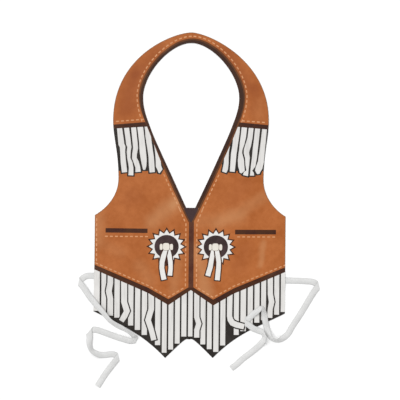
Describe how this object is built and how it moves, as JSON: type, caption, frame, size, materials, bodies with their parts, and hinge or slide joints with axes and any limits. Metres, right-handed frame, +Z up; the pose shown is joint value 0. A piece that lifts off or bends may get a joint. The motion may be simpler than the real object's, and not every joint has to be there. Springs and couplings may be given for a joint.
{
  "type": "printed western costume vest",
  "caption": "Flat die-cut western costume vest of printed film with a neck loop, V front and pointed fringed hem, with loose flat tapes to tie it at the waist.",
  "frame": {"origin": "under the middle of the sheet's bounding box, on the surface that it lies on", "axes": "+Y from the hem towards the neck loop, +Z up out of the printed face, +X to the right seen from above"},
  "size_m": [0.4537, 0.6686, 0.0095],
  "materials": {
    "printed_film": "white vinyl film printed on the front with tan leather, dark binding and white fringe, plain white back",
    "tie_tape": "plain white woven flat tape"
  },
  "bodies": {
    "root": {"vest_panel": "printed_film", "tie_left": "tie_tape", "tie_right": "tie_tape"}
  },
  "joints": []
}
